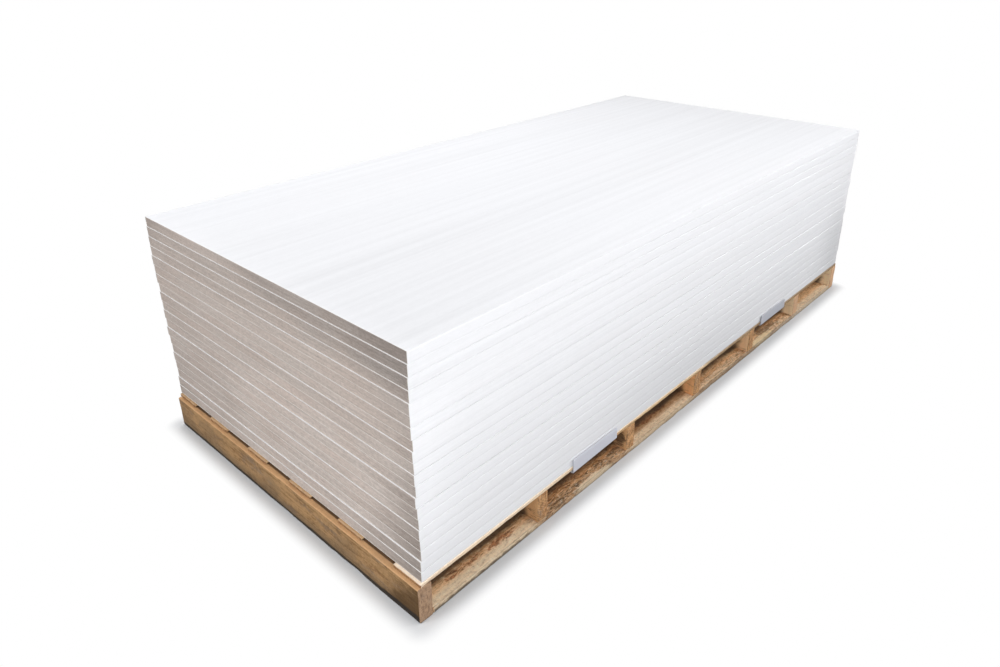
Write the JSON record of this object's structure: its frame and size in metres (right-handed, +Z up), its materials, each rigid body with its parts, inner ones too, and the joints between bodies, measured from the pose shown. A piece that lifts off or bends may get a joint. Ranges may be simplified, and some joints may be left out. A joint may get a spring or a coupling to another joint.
{
  "type": "stack of fire-resistant boards on a pallet",
  "caption": "Stack of white-faced fire-resistant building boards, cut ends showing the core, lying flat on a long timber pallet with fork bays between its cross bearers.",
  "frame": {"origin": "on the floor, under the middle of the pallet", "axes": "+X along the boards, +Y across them, +Z up; the near end of the picture is at -X and its near side at -Y"},
  "size_m": [2.52, 1.208, 0.733],
  "materials": {
    "fire_board": "matte paper facing over a gypsum core",
    "pallet_timber": "sawn, weathered softwood",
    "guard_card": "matte card"
  },
  "bodies": {
    "root": {"edge_guard_1": "guard_card", "edge_guard_2": "guard_card", "fire_board_01": "fire_board", "fire_board_02": "fire_board", "fire_board_03": "fire_board", "fire_board_04": "fire_board", "fire_board_05": "fire_board", "fire_board_06": "fire_board", "fire_board_07": "fire_board", "fire_board_08": "fire_board", "fire_board_09": "fire_board", "fire_board_10": "fire_board", "fire_board_11": "fire_board", "fire_board_12": "fire_board", "fire_board_13": "fire_board", "fire_board_14": "fire_board", "fire_board_15": "fire_board", "fire_board_16": "fire_board", "fire_board_17": "fire_board", "fire_board_18": "fire_board", "fire_board_19": "fire_board", "fire_board_20": "fire_board", "pallet_base_board_far_side": "pallet_timber", "pallet_base_board_middle": "pallet_timber", "pallet_base_board_near_side": "pallet_timber", "pallet_bearer_1": "pallet_timber", "pallet_bearer_2": "pallet_timber", "pallet_bearer_3": "pallet_timber", "pallet_bearer_4": "pallet_timber", "pallet_bearer_5": "pallet_timber", "pallet_bearer_6": "pallet_timber", "pallet_bearer_7": "pallet_timber", "pallet_deck_board_1": "pallet_timber", "pallet_deck_board_2": "pallet_timber", "pallet_deck_board_3": "pallet_timber", "pallet_deck_board_4": "pallet_timber", "pallet_deck_board_5": "pallet_timber", "pallet_deck_board_6": "pallet_timber"}
  },
  "joints": []
}
